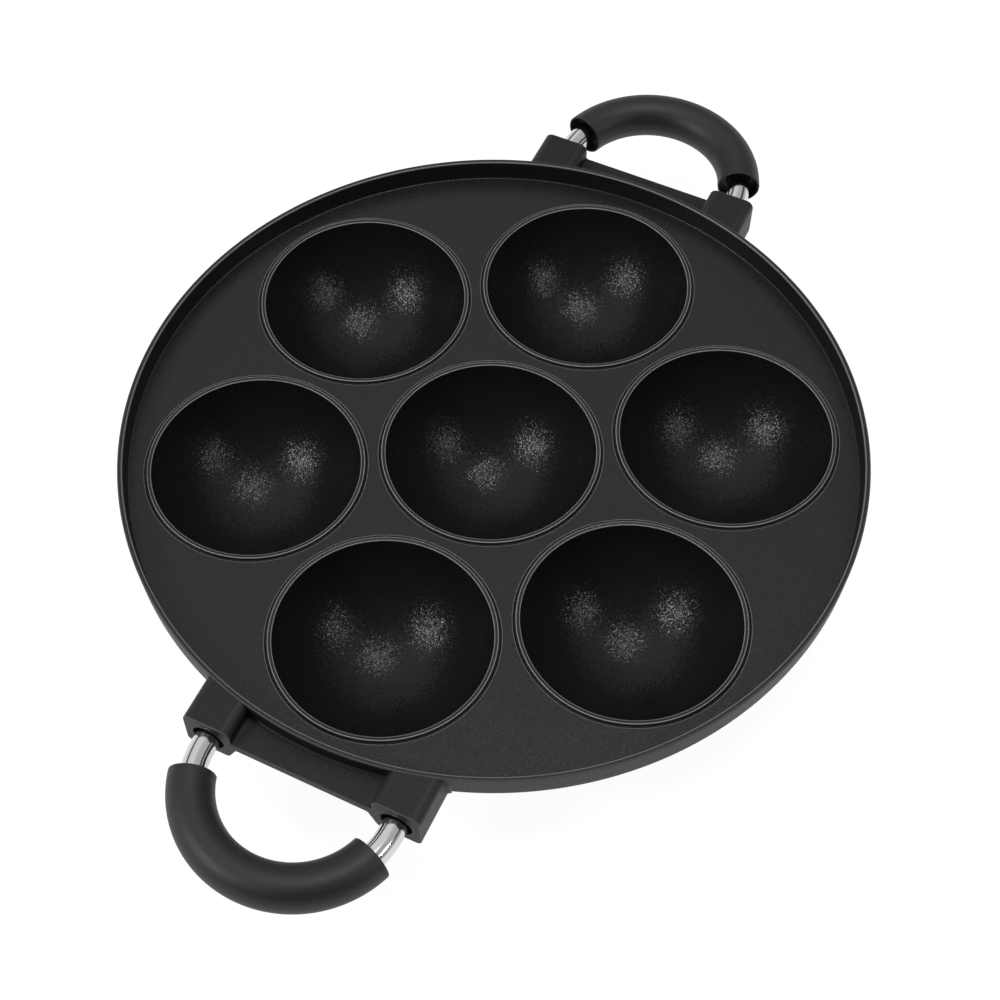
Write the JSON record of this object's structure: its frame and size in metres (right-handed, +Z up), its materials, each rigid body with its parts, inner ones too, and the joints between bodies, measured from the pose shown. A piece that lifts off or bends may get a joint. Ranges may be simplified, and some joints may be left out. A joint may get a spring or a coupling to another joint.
{
  "type": "takoyaki pan",
  "caption": "Round cast pan with hemispherical cups in a shallow rimmed tray and a steel loop handle with a moulded grip on each side.",
  "frame": {"origin": "middle of the pan, on the plane of the flat pads under its cups", "axes": "+X along the line through both handles, +Y across it, +Z up out of the cups"},
  "size_m": [0.3396, 0.2408, 0.0392],
  "materials": {
    "coated_casting": "satin non-stick coating",
    "handle_steel": "polished",
    "phenolic_grip": "satin",
    "zinc_fastener": "zinc plated"
  },
  "bodies": {
    "root": {"pan_body": "coated_casting", "cup_centre": "coated_casting", "cup_1": "coated_casting", "cup_2": "coated_casting", "cup_3": "coated_casting", "cup_4": "coated_casting", "cup_5": "coated_casting", "cup_6": "coated_casting", "right_handle_tube": "handle_steel", "right_grip": "phenolic_grip", "left_handle_tube": "handle_steel", "left_grip": "phenolic_grip", "right_back_slug": "zinc_fastener", "right_back_screw": "zinc_fastener", "right_back_washer": "zinc_fastener", "right_front_slug": "zinc_fastener", "right_front_screw": "zinc_fastener", "right_front_washer": "zinc_fastener", "left_back_slug": "zinc_fastener", "left_back_screw": "zinc_fastener", "left_back_washer": "zinc_fastener", "left_front_slug": "zinc_fastener", "left_front_screw": "zinc_fastener", "left_front_washer": "zinc_fastener"}
  },
  "joints": []
}
